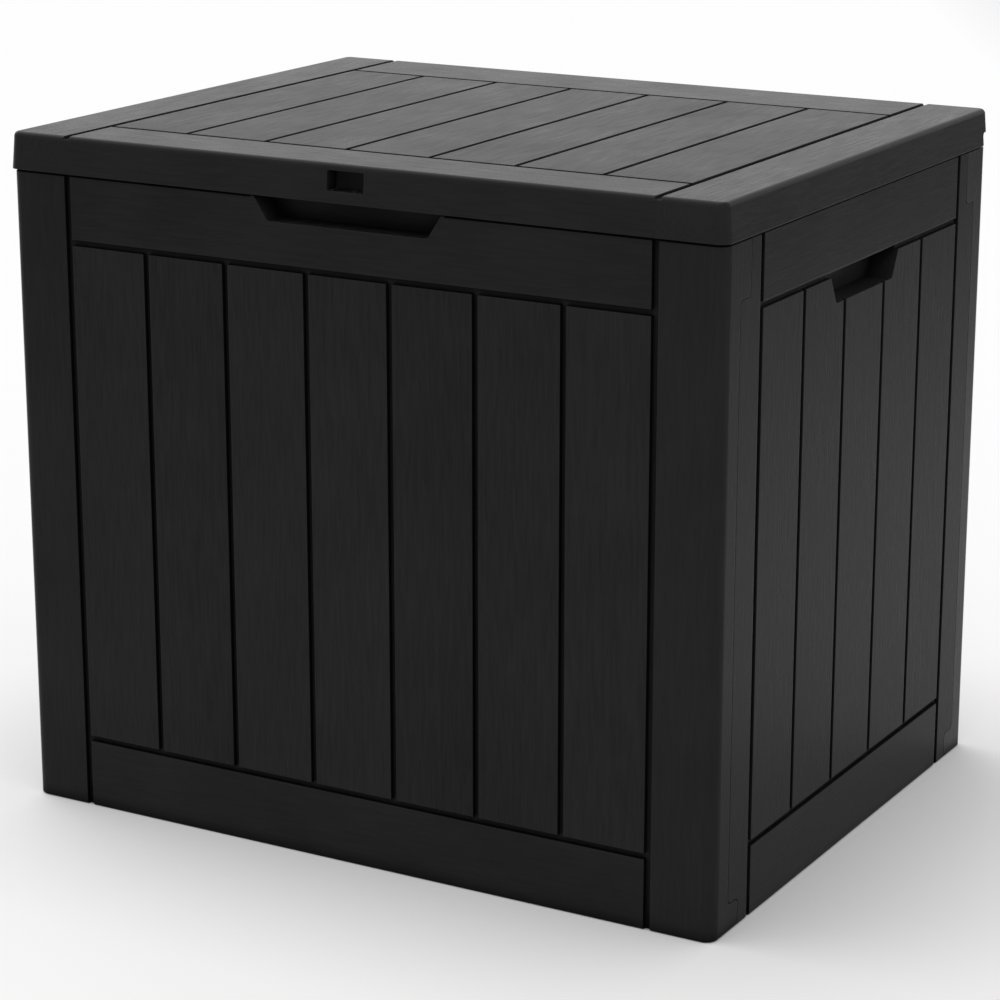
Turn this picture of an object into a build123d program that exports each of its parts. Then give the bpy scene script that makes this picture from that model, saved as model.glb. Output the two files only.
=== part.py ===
from build123d import *
from math import atan2, degrees
import os

# Deck storage box of moulded resin: four plank-patterned wall panels, a ribbed floor and a hinged lid.
# Frame: +Z up, front towards -Y, origin on the ground below the middle of the box. Millimetres.

# Overall sizes of the closed box
body_width = 565.0
body_depth = 446.0
body_height = 474.5
lid_gap = 1.0
lid_height = 26.5

# Moulded walls
wall = 3.0
corner_radius = 9.0
edge_bevel = 1.0
slip = 0.2  # play between pieces that seat on each other
overlap = 0.5  # how far a feature runs into the wall that carries it

# Plank pattern of the walls
joint_width = 4.6
post_line_width = 5.2
groove_depth = 3.2
groove_draft = 0.25  # how much narrower a groove is at its root, on each side
ridge_width = 12.0
ridge_crest = 8.0
ridge_height = 3.2
front_post = 49.5
front_plank_count = 7
side_post = 55.0
side_plank_count = 5
top_rail = 48.0
bottom_rail = 53.0

# Seams where the front and back panels wrap round the corners
wrap = 23.0
wrap_tab = 38.0
upper_tab = 38.5
lower_tab = 20.0
tab_radius = 4.0
seam_gap = 0.5

# Top edge of the body: a shelf under the lid skirt and a rim that stands up inside the lid
shelf_thickness = 3.0
rim_inset = 8.0
rear_rim_inset = 17.0
rim_thickness = 3.0
rim_height = 10.0
rim_radius = 6.0

# Floor, the ledges it rests on and the thicker foot of the walls beside it
foot_band = 1.2
foot_rise = 2.0
ledge_height = 8.0
ledge_thickness = 3.5
ledge_depth = 14.0
floor_height = 14.0
floor_plate = 3.0
floor_skirt = 3.0
floor_clearance = 1.0
floor_rib = 2.5
floor_cross_rib_count = 5
floor_long_rib_count = 3
floor_screw_from_end = 94.0

# Corner joints: a tongue behind each wrap with a return flange that is screwed to bosses
tongue_thickness = 3.0
tongue_root = 10.0
flange_width = 24.0
flange_foot = 2.5
flange_head = 8.0
boss_radius = 4.5
boss_height = 6.8
lower_corner_screw = 110.0
upper_corner_screw = 370.0

# Hand recess in the front panel and hand-holds in the side panels
grip_top_width = 148.6
grip_floor_width = 127.3
grip_height = 16.5
hold_top_width = 118.5
hold_floor_width = 96.0
hold_height = 21.4
hand_depth = 20.0
hand_radius = 3.0

# Screws
screw_radius = 1.7
screw_length = 9.0
screw_head_radius = 3.5
screw_head_height = 2.2
screw_head_bevel = 0.9
screw_tip = 1.2
screw_play = 0.3
pilot_play = 0.05
fastener_side_count = 12  # flats that stand for the round outline of small fasteners and their holes

# Lid
lid_proud = 1.5
lid_top_inset = 0.8
lid_wall = 3.0
lid_plate = 3.5
lid_corner_radius = 8.0
lid_edge_radius = 3.5
lid_side_rail = 49.0
lid_front_rail = 53.0
lid_rear_rail = 68.0
lid_plank_count = 7
lid_joint_width = 4.0
lid_line_width = 5.0
lid_groove_depth = 2.2
lid_rib = 2.5
lid_rib_depth = 10.0
lid_cross_rib_count = 1

# Hinge: knuckles in a rebate along the lid's rear edge
rebate_depth = 10.6
rebate_height = 9.5
rebate_radius = 3.0
hinge_inset = 5.0
hinge_rise = 3.4
hinge_from_end = 112.5
knuckle_radius = 5.0
knuckle_length = 18.0
knuckle_gap = 0.5
knuckle_count = 3
knuckle_web = 9.2
swing_radius = 7.0
hinge_block_height = 16.0
hinge_block_wall = 4.0
pin_radius = 2.5
pin_play = 0.05
pin_running_play = 0.08
pin_head_radius = 4.0
pin_head = 2.5
pin_chamfer = 0.6
pin_end = 3.5
pin_end_room = 1.0
clip_radius = 4.4
clip_thickness = 1.0

# Lock window in the lid's front skirt and the staple behind it
window_width = 29.2
window_height = 14.0
window_sill = 8.1
window_radius = 1.5
window_cheek = 2.5
cheek_gap = 4.0
staple_width = 56.0
staple_plate = 4.5
staple_radius = 4.0
staple_top_room = 2.0
eye_tab_width = 26.0
eye_tab_room = 1.9
eye_tab_drop = 0.6
eye_tab_thickness = 3.0
eye_tab_radius = 4.0
eye_inset = 6.0
eye_radius = 3.5
staple_screw_spacing = 44.0
staple_screw_drop = 4.8

# Places worked out from the sizes above
half_width = body_width / 2
half_depth = body_depth / 2
lid_bottom = body_height + lid_gap
lid_top = lid_bottom + lid_height
rim_top = body_height + rim_height
upper_groove = body_height - top_rail
floor_bottom = ledge_height + ledge_thickness + slip
floor_top = floor_bottom + floor_height
floor_inset = wall + foot_band + floor_clearance
foot_top = floor_top + foot_rise
hinge_y = half_depth - hinge_inset
hinge_z = body_height + hinge_rise
rebate_y = half_depth - rebate_depth
rebate_z = lid_bottom + rebate_height
plate_z = lid_top - lid_plate
tongue_x = half_width - wall - slip
flange_y = half_depth - wall - boss_height - slip
corner_screw_heights = (lower_corner_screw, upper_corner_screw)
boss_x = tongue_x - tongue_thickness - (flange_width - tongue_thickness) / 2
rib_bottom = plate_z - lid_rib_depth
far = 20.0  # how far a cutter runs past the object

# Planes on the outer faces: local x runs along the wall, local y is up, local z points out
front_face = Plane(origin=(0, -half_depth, 0), x_dir=(1, 0, 0), z_dir=(0, -1, 0))
back_face = Plane(origin=(0, half_depth, 0), x_dir=(-1, 0, 0), z_dir=(0, 1, 0))
right_face = Plane(origin=(half_width, 0, 0), x_dir=(0, 1, 0), z_dir=(1, 0, 0))
left_face = Plane(origin=(-half_width, 0, 0), x_dir=(0, -1, 0), z_dir=(-1, 0, 0))
lid_face = Plane(origin=(0, 0, lid_top), x_dir=(1, 0, 0), z_dir=(0, 0, 1))


def block(x_span, y_span, z_span):
    """Box between two limits on each axis."""
    spans = (x_span, y_span, z_span)
    sizes = [high - low for low, high in spans]
    centre = [(low + high) / 2 for low, high in spans]
    return Pos(*centre) * Box(*sizes)


def prism_along_x(outline, x_span):
    """Solid with an outline drawn in Y and Z, between two places along X."""
    face = Plane.YZ.offset(x_span[0]) * outline
    return extrude(face, amount=x_span[1] - x_span[0], dir=(1, 0, 0))


def polygon(points):
    """Face inside a closed outline of straight lines."""
    return make_face(Polyline(*points, close=True))


def centred_steps(count, pitch):
    """Places of evenly spaced features, centred on zero."""
    return [(index - (count - 1) / 2) * pitch for index in range(count)]


def along_segment(start, end, section_points):
    """Section swept straight from start to end on a face; section x is across, section y points out."""
    run = Vector(*end) - Vector(*start)
    section = Plane(origin=start, x_dir=Vector(0, 0, 1).cross(run), z_dir=run)
    return extrude(section * polygon(section_points), amount=run.length, dir=run.normalized())


def groove(start, end, width, depth):
    """Cutter for one plank joint."""
    half_mouth = width / 2
    half_root = half_mouth - groove_draft
    points = [(-half_mouth, far), (-half_mouth, 0), (-half_root, -depth)]
    mirrored = [(-across, out) for across, out in reversed(points)]
    return along_segment(start, end, points + mirrored)


def ridge(start, end):
    """Thickening on the inner face behind a plank joint, so that the groove doesn't thin the wall."""
    half_base = ridge_width / 2
    half_crest = ridge_crest / 2
    inner = -wall
    points = [(-half_base, inner + overlap), (-half_base, inner), (-half_crest, inner - ridge_height)]
    mirrored = [(-across, out) for across, out in reversed(points)]
    return along_segment(start, end, points + mirrored)


def post_lines(half_span, low_end, high_end):
    """Lines beside the posts, over the whole height of a face."""
    return [((x, low_end), (x, high_end)) for x in (-half_span, half_span)]


def joint_lines(half_span, planks, low, high):
    """Lines along the rails, between the posts, and between the planks, from rail to rail."""
    rails = [((-half_span, y), (half_span, y)) for y in (low, high)]
    joints = [((x, low), (x, high)) for x in centred_steps(planks - 1, 2 * half_span / planks)]
    return rails + joints


def with_planks(panel, face, half_span, planks):
    """Panel with plank joints cut into its outer face and ridges behind them."""
    joints = joint_lines(half_span, planks, bottom_rail, upper_groove)
    ridge_lines = joints + post_lines(half_span, foot_top - overlap, body_height - shelf_thickness)
    grooves = [groove(*line, joint_width, groove_depth) for line in joints]
    grooves += [groove(*line, post_line_width, groove_depth) for line in post_lines(half_span, -far, lid_top)]
    return panel + [face * ridge(*line) for line in ridge_lines] - [face * cutter for cutter in grooves]


def small_round(radius):
    """Outline of a small fastener, boss or screw hole."""
    return RegularPolygon(radius, fastener_side_count)


def body_outline(inset):
    """Plan of the body, drawn in from its outer face."""
    radius = max(corner_radius - inset, wall / 2)
    return RectangleRounded(body_width - 2 * inset, body_depth - 2 * inset, radius)


def rim_outline(inset):
    """Plan of the rim, which stands further in along the rear to leave room for the hinges."""
    width = body_width - 2 * (rim_inset + inset)
    depth = body_depth - rim_inset - rear_rim_inset - 2 * inset
    return Pos(0, (rim_inset - rear_rim_inset) / 2) * RectangleRounded(width, depth, rim_radius - inset)


def body_shell():
    """All four walls with their shelf, rim, foot and ledge in one ring, before it is parted at the seams."""
    outer = extrude(body_outline(0), body_height)
    edges = outer.edges().group_by(Axis.Z)
    outer = chamfer(edges[0] + edges[-1], edge_bevel)
    walls = outer - extrude(body_outline(wall), body_height)
    shelf = Pos(0, 0, body_height - shelf_thickness) * extrude(
        body_outline(wall - overlap) - rim_outline(rim_thickness), shelf_thickness
    )
    rim = Pos(0, 0, body_height - shelf_thickness) * extrude(
        rim_outline(0) - rim_outline(rim_thickness), shelf_thickness + rim_height
    )
    foot = extrude(body_outline(wall - overlap) - body_outline(wall + foot_band), foot_top)
    ledge = Pos(0, 0, ledge_height) * extrude(
        body_outline(wall - overlap) - body_outline(wall + ledge_depth), ledge_thickness
    )
    return walls + shelf + rim + foot + ledge


def wrap_region(margin):
    """Space that holds the front panel's share of the ring, up to its seams on both side faces."""
    narrow = -half_depth + wrap + margin
    wide = -half_depth + wrap_tab + margin
    low = lower_tab + margin
    high = body_height - upper_tab - margin
    outside = -half_depth - far
    seam = [(wide, -far), (wide, low), (narrow, low), (narrow, high), (wide, high), (wide, lid_top)]
    outline = polygon([(outside, -far)] + seam + [(outside, lid_top)])
    jogs = [v for v in outline.vertices() if low - overlap < v.Y < high + overlap]
    outline = fillet(jogs, tab_radius)
    return prism_along_x(outline, (-half_width - far, half_width + far))


def hand_outline(top_width, floor_width, top, floor, grow):
    """Outline of a hand recess on a wall, wider at the top, grown outwards by a wall."""
    half_top = top_width / 2 + grow
    half_floor = floor_width / 2 + grow
    outline = polygon([(-half_floor, floor - grow), (half_floor, floor - grow), (half_top, top), (-half_top, top)])
    lower = outline.vertices().sort_by(Axis.Y)[:2]
    return fillet(lower, hand_radius + grow)


def screw_boss_places(side):
    """Plan places and heights of the corner bosses on the front (-1) or back (1) panel."""
    return [(x, side, z) for x in (-boss_x, boss_x) for z in corner_screw_heights]


def corner_boss(x, side, z):
    """Boss on a wall's inner face with a pilot hole for a corner screw."""
    root = half_depth - wall + overlap
    plane = Plane(origin=(x, side * root, z), z_dir=(0, -side, 0))
    return extrude(plane * small_round(boss_radius), boss_height + overlap)


def corner_pilot(x, side, z):
    """Pilot hole for a corner screw, blind at the outer wall."""
    plane = Plane(origin=(x, side * (half_depth - wall), z), z_dir=(0, -side, 0))
    return extrude(plane * small_round(screw_radius + pilot_play), boss_height + far)


def floor_screw_places():
    """Plan places of the floor screws, in the middle of the ledges."""
    across = half_width - floor_screw_from_end
    along = half_depth - floor_inset - ledge_depth / 2
    return [(x, y) for x in (-across, across) for y in (-along, along)]


def ledge_holes():
    """Clearance holes through the ledges for the floor screws."""
    hole = extrude(small_round(screw_radius + screw_play), ledge_thickness + far, both=True)
    return [Pos(x, y, ledge_height) * hole for x, y in floor_screw_places()]


def front_grip():
    """Walls of the hand recess and the hollow inside it."""
    floor = body_height - grip_height
    grown = hand_outline(grip_top_width, grip_floor_width, body_height, floor, wall)
    hollow = hand_outline(grip_top_width, grip_floor_width, body_height, floor, 0)
    half_top = grip_top_width / 2
    back = -half_depth + hand_depth
    walls = front_face * extrude(grown, -(hand_depth + wall))
    walls += block(
        (-half_top - wall, half_top + wall),
        (-half_depth + rim_inset, back + wall),
        (body_height - shelf_thickness, rim_top),
    )
    cut = front_face * (Pos(0, 0, far) * extrude(hollow, -(hand_depth + far)))
    cut += block((-half_top, half_top), (-half_depth - far, back), (body_height - overlap, rim_top + far))
    return walls, cut


def front_panel(shell):
    """Front wall with its corner wraps, hand recess and screw bosses."""
    panel = shell & wrap_region(0)
    panel = with_planks(panel, front_face, half_width - front_post, front_plank_count)
    grip_walls, grip_hollow = front_grip()
    panel = panel + grip_walls - grip_hollow
    panel += [corner_boss(*place) for place in screw_boss_places(-1)]
    panel -= [corner_pilot(*place) for place in screw_boss_places(-1)]
    panel -= staple_screw_holes(pilot_play)
    return panel - ledge_holes()


def knuckle_spans(side):
    """X limits of one hinge's knuckles, in order along the pin."""
    pitch = knuckle_length + knuckle_gap
    middle = side * (half_width - hinge_from_end)
    places = [middle + step for step in centred_steps(knuckle_count, pitch)]
    return [(x - knuckle_length / 2, x + knuckle_length / 2) for x in places]


def all_knuckles(first):
    """Every second knuckle of both hinges, from the first or from the next one."""
    return [span for side in (-1, 1) for span in knuckle_spans(side)[first::2]]


def knuckle(span, web_y, web_z):
    """Barrel round the hinge axis with a web to the piece that carries it."""
    barrel = Pos(hinge_y, hinge_z) * Circle(knuckle_radius)
    web = polygon([(web_y[0], web_z[0]), (web_y[1], web_z[0]), (web_y[1], web_z[1]), (web_y[0], web_z[1])])
    return prism_along_x(barrel + web, span)


def hinge_bore(play):
    """Cutter for the pin holes along the hinge axis."""
    return prism_along_x(Pos(hinge_y, hinge_z) * Circle(pin_radius + play), (-half_width, half_width))


def hinge_block(side):
    """Thick length of the back panel's top rail that carries one hinge."""
    spans = knuckle_spans(side)
    front = hinge_y - swing_radius - hinge_block_wall
    x_span = (spans[0][0] - hinge_block_wall, spans[-1][1] + hinge_block_wall)
    return block(x_span, (front, half_depth - wall + overlap), (body_height - hinge_block_height, body_height))


def swing_notch(span):
    """Room in the back panel for a lid knuckle to turn in."""
    x_span = (span[0] - knuckle_gap, span[1] + knuckle_gap)
    return block(x_span, (hinge_y - swing_radius, half_depth + far), (hinge_z - swing_radius, lid_top))


def pin_end_reliefs(side):
    """Scoops in the shelf for a pin's head and for the clip at its other end."""
    spans = knuckle_spans(side)
    scoop = Pos(hinge_y, hinge_z) * small_round(clip_radius + pin_end_room)
    length = pin_end + 2 * pin_end_room
    low_end = (spans[0][0] - length, spans[0][0])
    high_end = (spans[-1][1], spans[-1][1] + length)
    return [prism_along_x(scoop, low_end), prism_along_x(scoop, high_end)]


def back_panel(shell):
    """Back wall with its corner wraps, hinge blocks and hinge knuckles."""
    panel = shell & mirror(wrap_region(0), about=Plane.XZ)
    panel = with_planks(panel, back_face, half_width - front_post, front_plank_count)
    panel += [corner_boss(*place) for place in screw_boss_places(1)]
    panel -= [corner_pilot(*place) for place in screw_boss_places(1)]
    panel += [hinge_block(side) for side in (-1, 1)]
    panel -= [swing_notch(span) for span in all_knuckles(1)]
    panel -= pin_end_reliefs(-1) + pin_end_reliefs(1)
    web_y = (hinge_y - knuckle_web / 2, hinge_y + knuckle_web / 2)
    panel += [knuckle(span, web_y, (body_height - overlap, hinge_z)) for span in all_knuckles(0)]
    panel -= hinge_bore(pin_play)
    return panel - ledge_holes()


def corner_tongue():
    """Tongue and return flange at the right panel's front edge, with holes for the corner screws."""
    foot = floor_top + flange_foot
    head = body_height - flange_head
    root_y = -half_depth + wrap_tab + tongue_root
    inner_x = tongue_x - tongue_thickness
    tongue = block((inner_x, tongue_x), (-flange_y, root_y), (foot, head))
    tongue += block((tongue_x - flange_width, tongue_x), (-flange_y, -flange_y + tongue_thickness), (foot, head))
    fill_x = (inner_x, half_width - wall + overlap)
    tongue += block(fill_x, (-half_depth + wrap_tab + seam_gap, root_y), (foot, head))
    middle = (foot, body_height - upper_tab - seam_gap - tab_radius)
    tongue += block(fill_x, (-half_depth + wrap + seam_gap, root_y), middle)
    hole = extrude(Plane.XZ * small_round(screw_radius + screw_play), far, both=True)
    tongue -= [Pos(boss_x, -flange_y, z) * hole for z in corner_screw_heights]
    return tongue


def side_hold():
    """Walls of the right hand-hold and the hollow inside it, directly under the top rail."""
    floor = upper_groove - hold_height
    grown = hand_outline(hold_top_width, hold_floor_width, upper_groove + wall, floor, wall)
    hollow = hand_outline(hold_top_width, hold_floor_width, upper_groove, floor, 0)
    walls = right_face * extrude(grown, -(hand_depth + wall))
    cut = right_face * (Pos(0, 0, far) * extrude(hollow, -(hand_depth + far)))
    return walls, cut


def right_side_panel(shell):
    """Right wall between the wraps, with its hand-hold and corner tongues."""
    front_wrap = wrap_region(seam_gap)
    panel = shell - front_wrap - mirror(front_wrap, about=Plane.XZ)
    panel &= block((0, half_width + far), (-half_depth, half_depth), (-far, lid_top))
    hold_walls, hold_hollow = side_hold()
    panel = with_planks(panel + hold_walls, right_face, half_depth - side_post, side_plank_count)
    panel -= hold_hollow
    tongue = corner_tongue()
    panel = panel + tongue + mirror(tongue, about=Plane.XZ)
    return panel - ledge_holes()


def floor_panel():
    """Floor plate with a skirt, a grid of ribs below it and bosses for the floor screws."""
    outline = body_outline(floor_inset)
    plate = Pos(0, 0, floor_top - floor_plate) * extrude(outline, floor_plate)
    skirt = Pos(0, 0, floor_bottom) * extrude(outline - body_outline(floor_inset + floor_skirt), floor_height)
    z_span = (floor_bottom, floor_top)
    reach_x = half_width - floor_inset - floor_skirt / 2
    reach_y = half_depth - floor_inset - floor_skirt / 2
    panel = plate + skirt
    half_rib = floor_rib / 2
    for x in centred_steps(floor_cross_rib_count, 2 * reach_x / (floor_cross_rib_count + 1)):
        panel += block((x - half_rib, x + half_rib), (-reach_y, reach_y), z_span)
    for y in centred_steps(floor_long_rib_count, 2 * reach_y / (floor_long_rib_count + 1)):
        panel += block((-reach_x, reach_x), (y - half_rib, y + half_rib), z_span)
    boss = extrude(small_round(boss_radius), floor_height - floor_plate / 2)
    pilot = extrude(small_round(screw_radius + pilot_play), floor_height - floor_plate)
    for x, y in floor_screw_places():
        panel += Pos(x, y, floor_bottom) * boss
        panel -= Pos(x, y, floor_bottom) * pilot
    return panel


def lid_solid(inset, height):
    """Drafted block of the lid's outer shape, drawn in by an even inset, from the skirt's lower edge up."""
    width = body_width + 2 * (lid_proud - inset)
    depth = body_depth + 2 * (lid_proud - inset)
    draft = degrees(atan2(lid_proud + lid_top_inset, lid_height))
    outline = RectangleRounded(width, depth, lid_corner_radius - inset)
    return Pos(0, 0, lid_bottom) * extrude(outline, height, taper=draft)


def rebate():
    """Cutter for the rebate along the lid's rear lower edge."""
    rear = half_depth + far
    low = lid_bottom - far
    outline = polygon([(rebate_y, low), (rear, low), (rear, rebate_z), (rebate_y, rebate_z)])
    inner = [v for v in outline.vertices() if v.X < half_depth and v.Y > lid_bottom]
    return prism_along_x(fillet(inner, rebate_radius), (-half_width - far, half_width + far))


def lid_ribs():
    """Grid of ribs under the lid's planks, along their joints and across them."""
    half_rib = lid_rib / 2
    half_span = half_width - lid_side_rail
    front_line = -half_depth + lid_front_rail
    rear_line = half_depth - lid_rear_rail
    z_span = (rib_bottom, plate_z + overlap)
    pitch = 2 * half_span / lid_plank_count
    ribs = []
    for x in centred_steps(lid_plank_count + 1, pitch):
        ribs.append(block((x - half_rib, x + half_rib), (front_line - half_rib, rear_line + half_rib), z_span))
    step = (rear_line - front_line) / (lid_cross_rib_count + 1)
    for index in range(lid_cross_rib_count + 2):
        y = front_line + index * step
        ribs.append(block((-half_span, half_span), (y - half_rib, y + half_rib), z_span))
    return ribs


def lock_pocket():
    """Cheeks beside the lock window and the window itself."""
    half_window = window_width / 2
    sill = lid_bottom + window_sill
    cheek_y = (-half_depth + overlap, staple_plate_span()[0] - cheek_gap)
    cheek = block((half_window, half_window + window_cheek), cheek_y, (sill, plate_z + overlap))
    outline = Pos(0, sill + window_height / 2) * RectangleRounded(window_width, window_height, window_radius)
    window = front_face * (Pos(0, 0, far) * extrude(outline, -(far + 2 * lid_wall)))
    return cheek + mirror(cheek, about=Plane.YZ), window


def lid():
    """Lid shell with planks, ribs, lock window and hinge knuckles."""
    outer = lid_solid(0, lid_height)
    top_edges = outer.faces().sort_by(Axis.Z)[-1].edges()
    outer = fillet(top_edges, lid_edge_radius)
    shell = outer - lid_solid(lid_wall, lid_height - lid_plate)
    rear_wall_y = (rebate_y - lid_wall, rebate_y)
    shell += block((-half_width + overlap, half_width - overlap), rear_wall_y, (lid_bottom, plate_z + overlap))
    shell -= rebate()
    shell += lid_ribs()
    cheeks, window = lock_pocket()
    shell = shell + cheeks - window
    web_y = (rebate_y - overlap, hinge_y + knuckle_web / 2)
    shell += [knuckle(span, web_y, (hinge_z, plate_z + overlap)) for span in all_knuckles(1)]
    shell -= hinge_bore(pin_running_play)
    half_span = half_width - lid_side_rail
    front_line = -half_depth + lid_front_rail
    rear_line = half_depth - lid_rear_rail
    joints = joint_lines(half_span, lid_plank_count, front_line, rear_line)
    side_lines = post_lines(half_span, -half_depth - far, half_depth + far)
    shell -= [lid_face * groove(*line, lid_joint_width, lid_groove_depth) for line in joints]
    return shell - [lid_face * groove(*line, lid_line_width, lid_groove_depth) for line in side_lines]


def hinge_pin(side):
    """Headed pin through one hinge, its head at the outer end and its tip past the inner knuckle."""
    spans = knuckle_spans(1)
    outer = spans[-1][1] + slip
    tip = spans[0][0] - pin_end
    shank = prism_along_x(Pos(hinge_y, hinge_z) * Circle(pin_radius), (tip, outer + pin_head))
    shank = chamfer(shank.edges().sort_by(Axis.X)[0], pin_chamfer)
    pin = shank + prism_along_x(Pos(hinge_y, hinge_z) * small_round(pin_head_radius), (outer, outer + pin_head))
    return pin if side > 0 else mirror(pin, about=Plane.YZ)


def pin_clips():
    """Push-on rings at the inner ends of both pins."""
    inner = knuckle_spans(1)[0][0] - slip
    bore = RegularPolygon(pin_radius + pin_play, fastener_side_count, major_radius=False)
    clip = prism_along_x(Pos(hinge_y, hinge_z) * (small_round(clip_radius) - bore), (inner - clip_thickness, inner))
    return Compound(children=[clip, mirror(clip, about=Plane.YZ)])


def staple_plate_span():
    """Y limits of the staple's plate, which seats on the front of the hand recess's back wall."""
    back = -half_depth + hand_depth - slip
    return back - staple_plate, back


def staple_screw_places():
    """X and Z places of the staple's screws, hidden behind the lid's skirt beside the window."""
    z = rim_top - staple_screw_drop
    return [(x, z) for x in centred_steps(2, staple_screw_spacing)]


def staple_screw_holes(play):
    """Cutters for the staple's screws through the plate or the wall behind it."""
    hole = extrude(Plane.XZ * small_round(screw_radius + play), far, both=True)
    return [Pos(x, -half_depth + hand_depth, z) * hole for x, z in staple_screw_places()]


def eye_tab():
    """Tab behind the window's sill with an upright eye, open to the window above and the hand recess below."""
    front = -half_depth + lid_wall - lid_proud + eye_tab_room
    rear = staple_plate_span()[1]
    half_tab = eye_tab_width / 2
    outline = polygon([(-half_tab, front), (half_tab, front), (half_tab, rear), (-half_tab, rear)])
    outline = fillet(outline.vertices().sort_by(Axis.Y)[:2], eye_tab_radius)
    outline -= Pos(0, front + eye_inset) * Circle(eye_radius)
    top = lid_bottom + window_sill - eye_tab_drop
    return Pos(0, 0, top - eye_tab_thickness) * extrude(outline, eye_tab_thickness)


def lock_staple():
    """Plate that closes the rear of the lock window, with a tab for a padlock's shackle."""
    low = body_height + slip
    high = plate_z - staple_top_room
    seat = Plane(origin=(0, staple_plate_span()[1], (low + high) / 2), x_dir=(1, 0, 0), z_dir=(0, -1, 0))
    plate = extrude(seat * RectangleRounded(staple_width, high - low, staple_radius), staple_plate)
    return plate + eye_tab() - staple_screw_holes(screw_play)


def screw():
    """Pan-head screw along -Z, its head seated at the origin."""
    head = extrude(small_round(screw_head_radius), screw_head_height)
    head = chamfer(head.edges().group_by(Axis.Z)[-1], screw_head_bevel)
    shank = extrude(small_round(screw_radius), -screw_length)
    shank = chamfer(shank.edges().group_by(Axis.Z)[0], screw_tip)
    return head + shank


def screws_at(places):
    """Screws as separate solids; each place is a seat point and the direction its head points."""
    one = screw()
    return Compound(children=[Plane(origin=seat, z_dir=out) * one for seat, out in places])


def corner_screws():
    """Screws through the return flanges into the bosses of the front and back panels."""
    seat = flange_y - tongue_thickness - slip / 2
    places = []
    for side in (-1, 1):
        places += [((x, side * seat, z), (0, -side, 0)) for x, side, z in screw_boss_places(side)]
    return screws_at(places)


def floor_screws():
    """Screws through the ledges into the floor's bosses, heads below."""
    seat = ledge_height - slip / 2
    return screws_at([((x, y, seat), (0, 0, -1)) for x, y in floor_screw_places()])


def lock_staple_screws():
    """Screws through the staple's plate into the wall of the hand recess."""
    seat = staple_plate_span()[0] - slip / 2
    return screws_at([((x, seat, z), (0, -1, 0)) for x, z in staple_screw_places()])


def write(node, shape):
    """Write one node of the assembly."""
    export_step(shape, f"parts/{node}.step")


os.makedirs("parts", exist_ok=True)
ring = body_shell()
right_panel = right_side_panel(ring)
write("front_panel", front_panel(ring))
write("back_panel", back_panel(ring))
write("right_side_panel", right_panel)
write("left_side_panel", mirror(right_panel, about=Plane.YZ))
write("floor_panel", floor_panel())
write("lid", lid())
write("hinge_pin_left", hinge_pin(-1))
write("hinge_pin_right", hinge_pin(1))
write("hinge_pin_clips", pin_clips())
write("lock_staple", lock_staple())
write("lock_staple_screws", lock_staple_screws())
write("corner_screws", corner_screws())
write("floor_screws", floor_screws())
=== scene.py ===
import math

import bmesh
import bpy
from mathutils import Matrix, Vector


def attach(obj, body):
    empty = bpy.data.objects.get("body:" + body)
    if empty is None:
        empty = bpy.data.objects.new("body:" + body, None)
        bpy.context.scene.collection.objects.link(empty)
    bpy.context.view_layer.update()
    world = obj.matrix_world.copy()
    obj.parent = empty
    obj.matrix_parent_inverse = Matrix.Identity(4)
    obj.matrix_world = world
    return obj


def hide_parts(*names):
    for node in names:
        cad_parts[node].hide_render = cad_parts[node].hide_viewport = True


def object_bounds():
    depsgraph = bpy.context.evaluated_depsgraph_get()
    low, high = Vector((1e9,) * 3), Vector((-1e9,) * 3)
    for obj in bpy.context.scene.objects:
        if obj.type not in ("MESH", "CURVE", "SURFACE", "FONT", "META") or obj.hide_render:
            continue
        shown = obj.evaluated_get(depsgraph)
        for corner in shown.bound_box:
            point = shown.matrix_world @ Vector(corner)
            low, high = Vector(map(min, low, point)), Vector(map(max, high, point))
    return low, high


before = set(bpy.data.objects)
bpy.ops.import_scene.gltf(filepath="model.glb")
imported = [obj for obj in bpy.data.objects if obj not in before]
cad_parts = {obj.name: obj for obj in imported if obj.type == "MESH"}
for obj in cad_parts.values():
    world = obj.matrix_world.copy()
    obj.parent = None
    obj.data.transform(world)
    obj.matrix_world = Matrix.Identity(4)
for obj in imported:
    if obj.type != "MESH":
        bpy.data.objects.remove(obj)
cad_low, cad_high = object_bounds()

# Looks of a deck storage box of black moulded resin, standing closed on a pale studio floor.
# Metres and degrees throughout, in the frame of the construction: +Z up, front towards -Y.

# Plank pattern that the grain follows: width of the plank field, number of planks and where planks end
FRONT_FIELD = 0.466
FRONT_PLANKS = 7
SIDE_FIELD = 0.336
SIDE_PLANKS = 5
WALL_ENDS = (0.053, 0.4265)
LID_FIELD = 0.467
LID_PLANKS = 7
LID_ENDS = (-0.170, 0.155)

# Resin colours, written as the albedo of each moulding
WALL_COLOUR = (0.0260, 0.0260, 0.0264, 1.0)
LID_COLOUR = (0.0232, 0.0232, 0.0235, 1.0)
FITTING_COLOUR = (0.0260, 0.0260, 0.0264, 1.0)
WORN_COLOUR = (0.045, 0.045, 0.0455, 1.0)

# Specular level and roughness of the resin
WALL_GLOSS = 0.036
BACK_GLOSS = 0.070  # the back panel shines more, as its lighter strip beside the seam shows
LID_GLOSS = 0.062
WALL_ROUGHNESS = 0.30
LID_ROUGHNESS = 0.33
FITTING_ROUGHNESS = (0.42, 0.54)
RAIL_POLISH = 0.04  # how much smoother rails and posts are than planks

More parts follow.
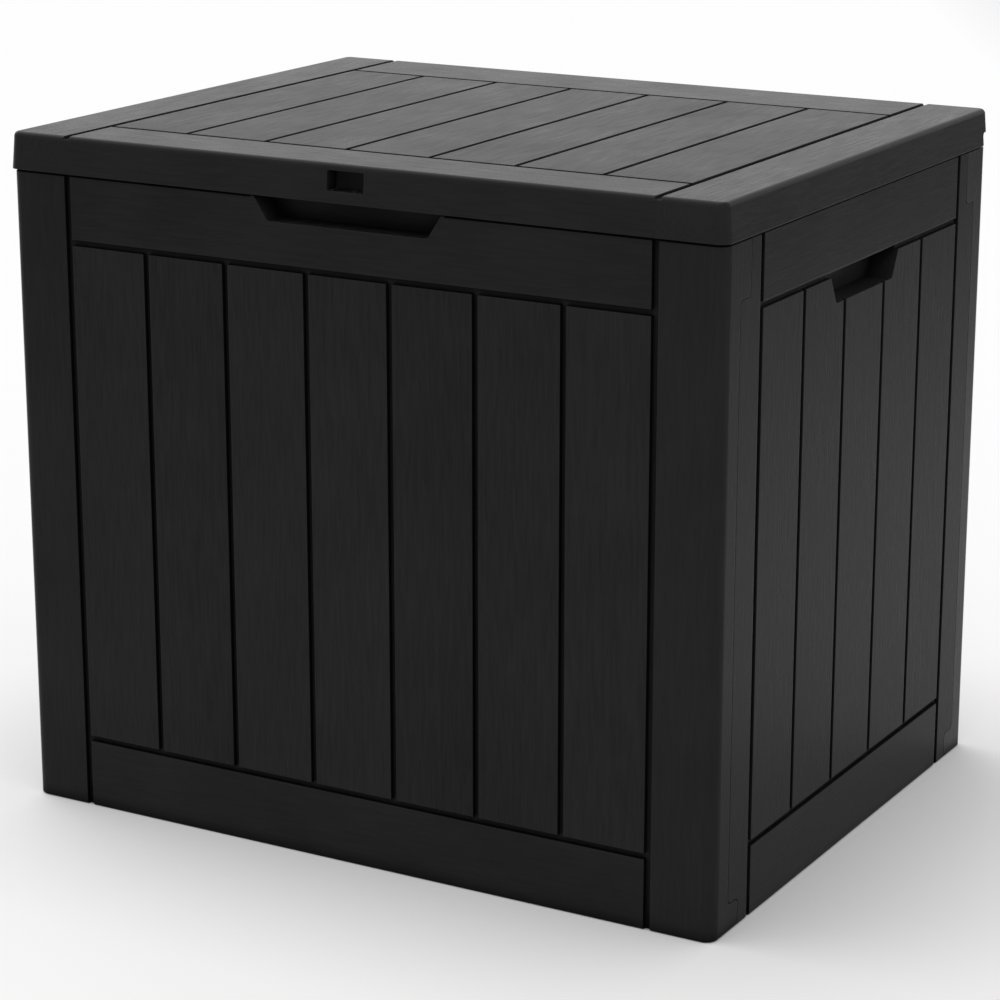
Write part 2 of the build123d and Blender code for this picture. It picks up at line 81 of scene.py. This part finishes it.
# Moulded wood grain: lines in a metre across it, share of that number along it, fineness and height
GRAIN_LINES = 420.0
GRAIN_STRETCH = 0.075
GRAIN_DETAIL = 5.0
GRAIN_HEIGHT = 0.00018
PORE_LINES = 950.0
PORE_STRETCH = 0.035
PORE_DETAIL = 2.0
PORE_HEIGHT = 0.00010
PORE_SPREAD = (0.52, 0.66)  # noise at which a pore begins to open, and at which it is open
STREAK_SHARPNESS = 0.6  # how strong the finer noise in a streak is
RAIL_GRAIN = 0.55  # how deep the grain of rails and posts is beside that of planks
INNER_GRAIN = 0.2  # how deep it is on inner faces, which are nearly smooth
RESIN_RELIEF = 0.5

# Patches and specks: how many in a metre, and how fine
MOTTLE_SPOTS = 14.0
MOTTLE_DETAIL = 4.0
SPECKLE_SPOTS = 2400.0
SPECKLE_DETAIL = 1.0
FITTING_MOTTLE_SPOTS = 60.0
FITTING_SPECKLE_SPOTS = 1800.0
FITTING_DETAIL = 3.0
FITTING_SPECKLE_HEIGHT = 0.00005
NOISE_SPREAD = (0.3, 0.7)  # range in which nearly all noise lies

# How far tone and roughness change, up and down
STREAK_TONE = 0.16
PLANK_TONE = 0.06
MOTTLE_TONE = 0.08
FITTING_TONE = 0.12
STREAK_ROUGHNESS = 0.05
MOTTLE_ROUGHNESS = 0.03
SPECKLE_ROUGHNESS = 0.03

# Worn edges
EDGE_RADIUS = 0.0009
FITTING_EDGE_RADIUS = EDGE_RADIUS / 2
EDGE_TURN = (0.995, 0.90)  # cosine of the turn at which wear begins, and at which it is full
WEAR_PATCHES = (0.35, 0.65)  # noise over which wear grows from least to most
WALL_WEAR = (0.15, 0.75)
FITTING_WEAR = (0.2, 0.8)
BEVEL_RAYS = 6

# Painted shade in grooves and recesses, where the resin is also rougher
CAVITY_REACH = 0.018
CAVITY_PAINTED_SHADE = 0.12  # share of the colour that is left deep in a groove, as painted shade
CAVITY_ROUGHNESS = 0.4
FRONT_CAVITY = (0.82, 0.45)  # how open a place is where the shade begins, and where it is full
SIDE_CAVITY = (0.66, 0.30)
LID_CAVITY = (0.60, 0.25)
OPENNESS_RAYS = 8

# Zinc-plated steel
BRIGHT_ZINC = (0.66, 0.66, 0.65, 1.0)
DULL_ZINC = (0.44, 0.45, 0.47, 1.0)
ZINC_SPOTS = 420.0
ZINC_DETAIL = 4.0
DULL_SPREAD = (0.4, 0.7)  # noise at which the dull patches begin, and at which they are full
ZINC_ROUGHNESS = (0.26, 0.42)
MARK_LINES = 2600.0
MARK_STRETCH = 0.02
MARK_DETAIL = 3.0
MARK_ROUGHNESS = 0.06
MARK_HEIGHT = 0.00002
STEEL_RELIEF = 0.4
STEEL_EDGE_RADIUS = 0.0002

# Screws: sizes of the solids that they stand for
SCREW_HEAD_RADIUS = 0.0035
SCREW_HEAD_HEIGHT = 0.0022
SCREW_SHANK_RADIUS = 0.0017
SCREW_LENGTH = 0.0090

# Screws: details that the solids leave out or make plainer
SCREW_CORE_RADIUS = 0.00135
SCREW_TIP_LENGTH = 0.0020
SCREW_POINT_SHARE = 0.25  # width of the tip beside the shank
SCREW_THREAD_PITCH = 0.0013
THREAD_FLANK = 0.3  # share of the pitch that each flank of the thread takes
SCREW_SIDES = 24
THREAD_STEPS = 54
# shares of the head's radius and height, from its rim to the flat on its top
HEAD_PROFILE = ((1.0, 0.0), (1.0, 0.45), (0.95, 0.68), (0.83, 0.86), (0.62, 0.97), (0.30, 1.0))
DRIVE_WIDTH = 0.0011
DRIVE_LENGTH = 0.0040
DRIVE_DEPTH = 0.0012
DRIVE_TAPER = 0.7  # width of the cutter at its lower end beside that at its upper end
SCREW_SPIN = 37.0  # how much further each screw was turned than the one before it
WELD_DISTANCE = 1e-6
PLACE_DIGITS = 4  # digits of a place that decide the order of screws

# Camera of the photograph
CAMERA_PLACE = (1.1158, -1.9639, 0.8605)
CAMERA_YAW = 29.79
CAMERA_PITCH = 15.97
CAMERA_LENS = 112.4  # millimetres, and so is the sensor's width
SENSOR_WIDTH = 36.0
CAMERA_REACH = 100.0

# Stage
FLOOR_SIZE = 60.0
FLOOR_DROP = 0.0003
PAPER_ALBEDO = 0.65
PAPER_ROUGHNESS = 0.9
PAPER_LIFT = 0.43  # light that the paper gives off to the camera, so that it stays white
PAPER_EDGE = (0.95, 2.4)  # how far aside the white paper starts to fade into the painted shade of a dimmer studio, and where it ends
PAPER_TURN = (-0.8, 0.4)  # how far along the paper this fading sets in, and where it is full
# share of the paper's colour and glow left where the studio's shade is painted
STUDIO_PAINTED_SHADE = 0.28
# how far the painted contact shadow reaches: the paper's glow fades near the box
CONTACT_SHADOW_REACH = 0.2
WORLD_LIGHT = 0.55
LIGHT_STRENGTH = 1.2
LIGHT_SPREAD = 62.0
LIGHT_TILT = 36.0
LIGHT_TURN = 80.0
WHITE = (1.0, 1.0, 1.0, 1.0)

# Axes, and the sockets of a Mix node for each kind of value: first, second and result
X, Y, Z = range(3)
MIX_SOCKETS = {"VECTOR": (4, 5, 1), "RGBA": (6, 7, 2)}


def fill(tree, node, inputs):
    """Put a value or a link on each named input of a shader node."""
    for name, value in inputs.items():
        if isinstance(value, bpy.types.NodeSocket):
            tree.links.new(value, node.inputs[name])
        else:
            node.inputs[name].default_value = value


def add(tree, kind, inputs=None, **settings):
    """New shader node with its settings and inputs."""
    node = tree.nodes.new("ShaderNode" + kind)
    for name, value in settings.items():
        setattr(node, name, value)
    fill(tree, node, inputs or {})
    return node


def new_material(name):
    """Material with nothing but a principled shader."""
    material = bpy.data.materials.new(name)
    material.use_nodes = True
    tree = material.node_tree
    tree.nodes.clear()
    shader = add(tree, "BsdfPrincipled")
    add(tree, "OutputMaterial", {"Surface": shader.outputs["BSDF"]})
    return material, tree, shader


def calculate(tree, operation, first, second=0.0):
    """Result of one operation on one or two numbers or sockets."""
    return add(tree, "Math", {0: first, 1: second}, operation=operation).outputs[0]


def total(tree, first, *others):
    """All numbers or sockets added up."""
    for other in others:
        first = calculate(tree, "ADD", first, other)
    return first


def product(tree, first, *others):
    """All numbers or sockets multiplied."""
    for other in others:
        first = calculate(tree, "MULTIPLY", first, other)
    return first


def opposite(tree, mask):
    """One where a mask is zero, and zero where it is one."""
    return calculate(tree, "SUBTRACT", 1.0, mask)


def between(tree, value, low, high, out_low=0.0, out_high=1.0):
    """Value moved from one range to another and held inside it."""
    inputs = {"Value": value, "From Min": low, "From Max": high, "To Min": out_low, "To Max": out_high}
    return add(tree, "MapRange", inputs).outputs["Result"]


def blend(tree, mask, off, on):
    """Number that goes from one value to another as a mask goes from zero to one."""
    return between(tree, mask, 0.0, 1.0, off, on)


def swing(tree, noise, amount):
    """Noise as a change of up to that amount, up or down."""
    return between(tree, noise, *NOISE_SPREAD, -amount, amount)


def mix(tree, kind, mask, off, on):
    """Colour or vector that goes from one to another as a mask goes from zero to one."""
    first, second, result = MIX_SOCKETS[kind]
    return add(tree, "Mix", {"Factor": mask, first: off, second: on}, data_type=kind).outputs[result]


def toned(tree, colour, tone):
    """Colour made lighter or darker."""
    return add(tree, "HueSaturation", {"Color": colour, "Value": tone}).outputs["Color"]


def combine(tree, operation, first, second):
    """Node that works on two vectors."""
    return add(tree, "VectorMath", {0: first, 1: second}, operation=operation)


def meeting(tree, first, second):
    """How far two vectors point the same way: their dot product."""
    return combine(tree, "DOT_PRODUCT", first, second).outputs["Value"]


def object_place(tree):
    """Places in the frame of the construction."""
    return add(tree, "TexCoord").outputs["Object"]


def axes_of(tree, place):
    """The three numbers of a place."""
    return add(tree, "SeparateXYZ", {"Vector": place}).outputs


def spots(tree, place, scale, detail):
    """Noise of the same fineness all ways."""
    return add(tree, "TexNoise", {"Vector": place, "Scale": scale, "Detail": detail}).outputs["Fac"]


def streaks(tree, place, lines, stretch, along, detail):
    """Noise that is drawn out along one axis."""
    scale = [lines, lines, lines]
    scale[along] = lines * stretch
    drawn_out = add(tree, "Mapping", {"Vector": place, "Scale": scale}).outputs["Vector"]
    inputs = {"Vector": drawn_out, "Scale": 1.0, "Detail": detail, "Roughness": STREAK_SHARPNESS}
    return add(tree, "TexNoise", inputs).outputs["Fac"]


def rounded_edges(tree, radius):
    """Normals that make sharp edges look rounded."""
    return add(tree, "Bevel", {"Radius": radius}, samples=BEVEL_RAYS).outputs["Normal"]


def relief(tree, height, distance, strength, normal, invert=False):
    """Normals of a surface with a fine relief on it."""
    inputs = {"Height": height, "Distance": distance, "Strength": strength, "Normal": normal}
    return add(tree, "Bump", inputs, invert=invert).outputs["Normal"]


def open_air(tree, reach):
    """One where nothing is near a surface, and less where something hides it."""
    return add(tree, "AmbientOcclusion", {"Distance": reach}, samples=OPENNESS_RAYS).outputs["AO"]


def cavity_mask(tree, openness):
    """One deep in grooves and inner corners and zero on open faces."""
    return between(tree, open_air(tree, CAVITY_REACH), *openness)


def wear_mask(tree, rounded, mottle, cavity, wear):
    """Patches of wear on sharp outer edges, with none deep in grooves."""
    flat = add(tree, "NewGeometry").outputs["Normal"]
    edge = between(tree, meeting(tree, rounded, flat), *EDGE_TURN)
    return product(tree, edge, between(tree, mottle, *WEAR_PATCHES, *wear), opposite(tree, cavity))


def facing_out(tree):
    """One on faces that point away from the middle of the box and zero on its inner faces."""
    texture = add(tree, "TexCoord").outputs
    middle = (cad_low + cad_high) / 2
    away = combine(tree, "SUBTRACT", texture["Object"], middle).outputs["Vector"]
    return calculate(tree, "GREATER_THAN", meeting(tree, texture["Normal"], away), 0.0)


def plank_number(tree, place, across, field, planks):
    """A different number for each plank, with the rails beside the field as two more planks."""
    shifted = calculate(tree, "ADD", axes_of(tree, place)[across], field / 2)
    index = calculate(tree, "FLOOR", calculate(tree, "DIVIDE", shifted, field / planks))
    return add(tree, "TexWhiteNoise", {"W": index}, noise_dimensions="1D").outputs["Value"]


def plank_field(tree, place, across, along, field, ends):
    """Two masks: one for the planks, and one for the rails at their ends."""
    axes = axes_of(tree, place)
    beside = calculate(tree, "LESS_THAN", calculate(tree, "ABSOLUTE", axes[across]), field / 2)
    past_low = calculate(tree, "GREATER_THAN", axes[along], ends[0])
    past_high = calculate(tree, "LESS_THAN", axes[along], ends[1])
    on_plank = product(tree, beside, past_low, past_high)
    return on_plank, calculate(tree, "SUBTRACT", beside, on_plank)


def turned_on_rails(tree, place, across, along, on_rail):
    """Places with two axes changed over on the rails, whose grain runs across that of the planks."""
    axes = axes_of(tree, place)
    order = [X, Y, Z]
    order[across], order[along] = along, across
    turned = add(tree, "CombineXYZ", {new: axes[old] for new, old in enumerate(order)}).outputs["Vector"]
    return mix(tree, "VECTOR", on_rail, place, turned)


def grain_place(tree, place, plank, across, along, on_rail):
    """Places that the grain is drawn at: turned on the rails and shifted from plank to plank."""
    turned = turned_on_rails(tree, place, across, along, on_rail)
    shift = add(tree, "CombineXYZ", {"X": plank, "Y": plank, "Z": plank}).outputs["Vector"]
    return combine(tree, "ADD", turned, shift).outputs["Vector"]


def resin_tone(tree, grain, depth, plank, mottle, cavity):
    """Share of the resin's colour: streaks, planks and patches, and painted shade in the grooves."""
    of_grain = product(tree, swing(tree, grain, STREAK_TONE), depth)
    of_plank = blend(tree, plank, 1.0 - PLANK_TONE, 1.0 + PLANK_TONE)
    tone = total(tree, of_grain, of_plank, swing(tree, mottle, MOTTLE_TONE))
    return product(tree, tone, blend(tree, cavity, 1.0, CAVITY_PAINTED_SHADE))


def resin_roughness(tree, roughness, on_plank, grain, mottle, speckle, cavity):
    """Roughness of the resin, which changes with the grain and is greatest in the grooves."""
    return total(
        tree,
        blend(tree, on_plank, roughness - RAIL_POLISH, roughness),
        swing(tree, grain, STREAK_ROUGHNESS),
        swing(tree, mottle, MOTTLE_ROUGHNESS),
        swing(tree, speckle, SPECKLE_ROUGHNESS),
        blend(tree, cavity, 0.0, CAVITY_ROUGHNESS),
    )


def grain_relief(tree, grain, pores, depth, rounded):
    """Normals of the grain: low ripples with pores sunk into them."""
    rippled = relief(tree, product(tree, grain, depth), GRAIN_HEIGHT, RESIN_RELIEF, rounded)
    opened = product(tree, between(tree, pores, *PORE_SPREAD), depth)
    return relief(tree, opened, PORE_HEIGHT, RESIN_RELIEF, rippled, invert=True)


def grained_resin(name, colour, gloss, roughness, openness, across, along, field, planks, ends):
    """Matte moulded resin with a wood grain along one axis that changes from plank to plank."""
    material, tree, shader = new_material(name)
    place = object_place(tree)
    on_plank, on_rail = plank_field(tree, place, across, along, field, ends)
    plank = product(tree, plank_number(tree, place, across, field, planks), opposite(tree, on_rail))
    moved = grain_place(tree, place, plank, across, along, on_rail)
    grain = streaks(tree, moved, GRAIN_LINES, GRAIN_STRETCH, along, GRAIN_DETAIL)
    pores = streaks(tree, moved, PORE_LINES, PORE_STRETCH, along, PORE_DETAIL)
    mottle = spots(tree, place, MOTTLE_SPOTS, MOTTLE_DETAIL)
    speckle = spots(tree, place, SPECKLE_SPOTS, SPECKLE_DETAIL)
    rounded = rounded_edges(tree, EDGE_RADIUS)
    cavity = cavity_mask(tree, openness)
    worn = wear_mask(tree, rounded, mottle, cavity, WALL_WEAR)
    outward = blend(tree, facing_out(tree), INNER_GRAIN, 1.0)
    depth = product(tree, blend(tree, on_plank, RAIL_GRAIN, 1.0), outward)
    plain = toned(tree, colour, resin_tone(tree, grain, depth, plank, mottle, cavity))
    fill(tree, shader, {
        "Base Color": mix(tree, "RGBA", worn, plain, WORN_COLOUR),
        "Roughness": resin_roughness(tree, roughness, on_plank, grain, mottle, speckle, cavity),
        "Specular IOR Level": gloss,
        "Normal": grain_relief(tree, grain, pores, depth, rounded),
    })
    return material


def plain_resin(name, colour, gloss):
    """Satin moulded resin with a fine spark-eroded texture."""
    material, tree, shader = new_material(name)
    place = object_place(tree)
    speckle = spots(tree, place, FITTING_SPECKLE_SPOTS, FITTING_DETAIL)
    mottle = spots(tree, place, FITTING_MOTTLE_SPOTS, FITTING_DETAIL)
    rounded = rounded_edges(tree, FITTING_EDGE_RADIUS)
    worn = wear_mask(tree, rounded, mottle, cavity_mask(tree, FRONT_CAVITY), FITTING_WEAR)
    tone = between(tree, mottle, *NOISE_SPREAD, 1.0 - FITTING_TONE, 1.0 + FITTING_TONE)
    fill(tree, shader, {
        "Base Color": mix(tree, "RGBA", worn, toned(tree, colour, tone), WORN_COLOUR),
        "Roughness": between(tree, speckle, *NOISE_SPREAD, *FITTING_ROUGHNESS),
        "Specular IOR Level": gloss,
        "Normal": relief(tree, speckle, FITTING_SPECKLE_HEIGHT, RESIN_RELIEF, rounded),
    })
    return material


def plated_steel(name):
    """Zinc-plated steel with drawing marks and dull patches."""
    material, tree, shader = new_material(name)
    place = object_place(tree)
    marks = streaks(tree, place, MARK_LINES, MARK_STRETCH, X, MARK_DETAIL)
    patches = spots(tree, place, ZINC_SPOTS, ZINC_DETAIL)
    rough = between(tree, patches, *NOISE_SPREAD, *ZINC_ROUGHNESS)
    fill(tree, shader, {
        "Base Color": mix(tree, "RGBA", between(tree, patches, *DULL_SPREAD), BRIGHT_ZINC, DULL_ZINC),
        "Roughness": total(tree, rough, swing(tree, marks, MARK_ROUGHNESS)),
        "Metallic": 1.0,
        "Normal": relief(tree, marks, MARK_HEIGHT, STEEL_RELIEF, rounded_edges(tree, STEEL_EDGE_RADIUS)),
    })
    return material


def wall_resin(name, gloss, openness, **planks):
    """Grained resin of the walls."""
    return grained_resin(name, WALL_COLOUR, gloss, WALL_ROUGHNESS, openness, **planks)


def dress_nodes():
    """Give every node of the construction its finish."""
    across_x = {"across": X, "along": Z, "field": FRONT_FIELD, "planks": FRONT_PLANKS, "ends": WALL_ENDS}
    across_y = {"across": Y, "along": Z, "field": SIDE_FIELD, "planks": SIDE_PLANKS, "ends": WALL_ENDS}
    on_lid = {"across": X, "along": Y, "field": LID_FIELD, "planks": LID_PLANKS, "ends": LID_ENDS}
    front_resin = wall_resin("front_resin", WALL_GLOSS, FRONT_CAVITY, **across_x)
    back_resin = wall_resin("back_resin", BACK_GLOSS, FRONT_CAVITY, **across_x)
    side_resin = wall_resin("side_resin", WALL_GLOSS, SIDE_CAVITY, **across_y)
    lid_resin = grained_resin("lid_resin_grained", LID_COLOUR, LID_GLOSS, LID_ROUGHNESS, LID_CAVITY, **on_lid)
    smooth_resin = plain_resin("smooth_resin", FITTING_COLOUR, WALL_GLOSS)
    steel = plated_steel("plated_steel")
    finishes = {
        "front_panel": front_resin,
        "back_panel": back_resin,
        "left_side_panel": side_resin,
        "right_side_panel": side_resin,
        "floor_panel": front_resin,
        "lid": lid_resin,
        "lock_staple": smooth_resin,
        "hinge_pin_left": steel,
        "hinge_pin_right": steel,
        "hinge_pin_clips": steel,
    }
    for node, material in finishes.items():
        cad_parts[node].material_slots[0].material = material
    return steel


def ring(shape, radius, height):
    """Ring of points round the screw's axis."""
    turns = [2 * math.pi * index / SCREW_SIDES for index in range(SCREW_SIDES)]
    return [shape.verts.new((radius * math.cos(t), radius * math.sin(t), height)) for t in turns]


def thread_ring(shape, height):
    """Ring of the threaded shank, each point on the crest or in the root of the helix."""
    reach = min(1.0, (height + SCREW_LENGTH) / SCREW_TIP_LENGTH)
    taper = SCREW_POINT_SHARE + (1.0 - SCREW_POINT_SHARE) * reach
    points = []
    for index in range(SCREW_SIDES):
        share = index / SCREW_SIDES
        phase = (height / SCREW_THREAD_PITCH - share) % 1.0
        crest = max(0.0, 1.0 - abs(phase - 0.5) / THREAD_FLANK)
        radius = (SCREW_CORE_RADIUS + (SCREW_SHANK_RADIUS - SCREW_CORE_RADIUS) * crest) * taper
        turn = 2 * math.pi * share
        points.append(shape.verts.new((radius * math.cos(turn), radius * math.sin(turn), height)))
    return points


def join_rings(shape, lower, upper):
    """Faces between two rings."""
    for index in range(SCREW_SIDES):
        after = (index + 1) % SCREW_SIDES
        shape.faces.new((lower[index], lower[after], upper[after], upper[index]))


def screw_blank():
    """Pan-head screw along -Z, its head seated at the origin, before its drive is cut."""
    shape = bmesh.new()
    heights = [-SCREW_LENGTH * (1 - step / THREAD_STEPS) for step in range(THREAD_STEPS + 1)]
    rings = [thread_ring(shape, height) for height in heights]
    rings += [ring(shape, SCREW_HEAD_RADIUS * r, SCREW_HEAD_HEIGHT * z) for r, z in HEAD_PROFILE]
    for lower, upper in zip(rings, rings[1:]):
        join_rings(shape, lower, upper)
    shape.faces.new(list(reversed(rings[0])))
    shape.faces.new(rings[-1])
    return shape


def mesh_object(name, shape):
    """Object from a built shape."""
    mesh = bpy.data.meshes.new(name)
    bmesh.ops.recalc_face_normals(shape, faces=shape.faces)
    shape.to_mesh(mesh)
    shape.free()
    piece = bpy.data.objects.new(name, mesh)
    bpy.context.scene.collection.objects.link(piece)
    return piece


def drive_cutter():
    """Cross that is cut into a screw's head, narrower towards its floor."""
    shape = bmesh.new()
    for length, width in ((DRIVE_LENGTH, DRIVE_WIDTH), (DRIVE_WIDTH, DRIVE_LENGTH)):
        made = bmesh.ops.create_cube(shape, size=1.0)["verts"]
        bmesh.ops.scale(shape, vec=(length, width, 2 * DRIVE_DEPTH), verts=made)
        bmesh.ops.translate(shape, vec=(0, 0, SCREW_HEAD_HEIGHT), verts=made)
        for corner in made:
            if corner.co.z < SCREW_HEAD_HEIGHT:
                corner.co.x *= DRIVE_TAPER
                corner.co.y *= DRIVE_TAPER
    return mesh_object("drive_cutter", shape)


def screw_mesh():
    """Finished screw with a cross drive in its head."""
    blank = mesh_object("screw_blank", screw_blank())
    cutter = drive_cutter()
    cut = blank.modifiers.new("drive", "BOOLEAN")
    cut.operation = "DIFFERENCE"
    cut.object = cutter
    cut.solver = "EXACT"
    cut.use_self = True
    bpy.context.view_layer.update()
    graph = bpy.context.evaluated_depsgraph_get()
    mesh = bpy.data.meshes.new_from_object(blank.evaluated_get(graph))
    bpy.data.objects.remove(blank)
    bpy.data.objects.remove(cutter)
    return mesh


def linked_points(start, left):
    """Places of all points that edges join to the first one, taken out of those that are left."""
    places = []
    queue = [start]
    while queue:
        point = queue.pop()
        places.append(point.co.copy())
        near = [edge.other_vert(point) for edge in point.link_edges]
        fresh = [other for other in near if other in left]
        left.difference_update(fresh)
        queue.extend(fresh)
    return places


def solid_centres(node):
    """Middle of each separate solid of a node, always in the same order."""
    shape = bmesh.new()
    shape.from_mesh(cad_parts[node].data)
    bmesh.ops.remove_doubles(shape, verts=shape.verts, dist=WELD_DISTANCE)
    left = set(shape.verts)
    centres = []
    while left:
        places = linked_points(left.pop(), left)
        low = Vector(min(place[axis] for place in places) for axis in (X, Y, Z))
        high = Vector(max(place[axis] for place in places) for axis in (X, Y, Z))
        centres.append((low + high) / 2)
    shape.free()
    return sorted(centres, key=lambda centre: tuple(round(value, PLACE_DIGITS) for value in centre))


def screw_set(node, out_of, screw, steel):
    """Screws of one node, each where its solid is, with heads that point as out_of says for a place."""
    shape = bmesh.new()
    for turn, centre in enumerate(solid_centres(node)):
        out = Vector(out_of(centre))
        seat = centre - out * (SCREW_HEAD_HEIGHT - SCREW_LENGTH) / 2
        spin = Matrix.Rotation(math.radians(SCREW_SPIN * turn), 4, "Z")
        placed = Matrix.Translation(seat) @ out.to_track_quat("Z", "Y").to_matrix().to_4x4() @ spin
        start = len(shape.verts)
        shape.from_mesh(screw)
        shape.verts.ensure_lookup_table()
        bmesh.ops.transform(shape, matrix=placed, verts=shape.verts[start:])
    piece = mesh_object(node + "_cross_head", shape)
    piece.data.materials.append(steel)
    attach(piece, "body")
    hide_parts(node)


def dress_screws(steel):
    """Put cross-head screws in place of the plain ones."""
    screw = screw_mesh()
    screw_set("corner_screws", lambda centre: (0, -1 if centre.y > 0 else 1, 0), screw, steel)
    screw_set("floor_screws", lambda centre: (0, 0, -1), screw, steel)
    screw_set("lock_staple_screws", lambda centre: (0, -1, 0), screw, steel)


def seen_directly(tree):
    """One for rays that show a surface to the camera, also by reflection, and zero for light on things."""
    path = add(tree, "LightPath").outputs
    mirrored = calculate(tree, "MAXIMUM", path["Is Glossy Ray"], path["Is Transmission Ray"])
    return calculate(tree, "MAXIMUM", path["Is Camera Ray"], mirrored)


def distance_along(tree, degrees):
    """How far a place on the floor lies from the middle, the way that the angle points."""
    turn = math.radians(degrees)
    place = add(tree, "NewGeometry").outputs["Position"]
    return meeting(tree, place, (math.cos(turn), math.sin(turn), 0.0))


def paper_shade_tone(tree):
    """One on the white paper, fading at the rear right and at the front left of the box into painted shade
    that stands for a dimmer studio.
    """
    aside = distance_along(tree, CAMERA_YAW)
    behind = distance_along(tree, CAMERA_YAW + 90.0)
    beside = between(tree, calculate(tree, "ABSOLUTE", aside), *PAPER_EDGE)
    onward = product(tree, behind, calculate(tree, "SIGN", aside))
    shaded = product(tree, beside, between(tree, onward, *PAPER_TURN))
    return blend(tree, shaded, 1.0, STUDIO_PAINTED_SHADE)


def floor_paper():
    """White paper that gives off some light to the camera, less where the box stands close, as a painted
    contact shadow.
    """
    material, tree, shader = new_material("studio_floor")
    white = paper_shade_tone(tree)
    albedo = product(tree, white, PAPER_ALBEDO)
    paper = add(tree, "CombineColor", {"Red": albedo, "Green": albedo, "Blue": albedo})
    lift = product(tree, seen_directly(tree), PAPER_LIFT)
    fill(tree, shader, {
        "Base Color": paper.outputs["Color"],
        "Roughness": PAPER_ROUGHNESS,
        "Specular IOR Level": 0.0,
        "Emission Color": WHITE,
        "Emission Strength": product(tree, lift, product(tree, white, open_air(tree, CONTACT_SHADOW_REACH))),
    })
    return material


def make_floor():
    """Pale floor that stays white to the camera and keeps the shadow."""
    shape = bmesh.new()
    bmesh.ops.create_grid(shape, x_segments=1, y_segments=1, size=FLOOR_SIZE / 2)
    bmesh.ops.translate(shape, vec=(0, 0, cad_low.z - FLOOR_DROP), verts=shape.verts)
    floor = mesh_object("studio_floor", shape)
    floor.data.materials.append(floor_paper())


def make_world():
    """White surroundings that light the object softly."""
    world = bpy.data.worlds.new("studio")
    bpy.context.scene.world = world
    world.use_nodes = True
    tree = world.node_tree
    tree.nodes.clear()
    strength = blend(tree, seen_directly(tree), WORLD_LIGHT, 1.0)
    white = add(tree, "Background", {"Color": WHITE, "Strength": strength})
    add(tree, "OutputWorld", {"Surface": white.outputs["Background"]})


def make_lamp():
    """Broad soft light from above and from the left."""
    light = bpy.data.lights.new("overhead_light", "SUN")
    light.energy = LIGHT_STRENGTH
    light.angle = math.radians(LIGHT_SPREAD)
    lamp = bpy.data.objects.new("overhead_light", light)
    lamp.rotation_euler = (math.radians(-LIGHT_TILT), 0.0, math.radians(LIGHT_TURN))
    bpy.context.scene.collection.objects.link(lamp)


def make_camera():
    """Camera at the photograph's place."""
    data = bpy.data.cameras.new("photo_camera")
    data.sensor_width = SENSOR_WIDTH
    data.lens = CAMERA_LENS
    data.clip_end = CAMERA_REACH
    camera = bpy.data.objects.new("photo_camera", data)
    camera.location = CAMERA_PLACE
    camera.rotation_euler = (math.radians(90.0 - CAMERA_PITCH), 0.0, math.radians(CAMERA_YAW))
    bpy.context.scene.collection.objects.link(camera)
    bpy.context.scene.camera = camera


bpy.context.scene.view_settings.view_transform = "Standard"
dress_screws(dress_nodes())
make_floor()
make_world()
make_lamp()
make_camera()
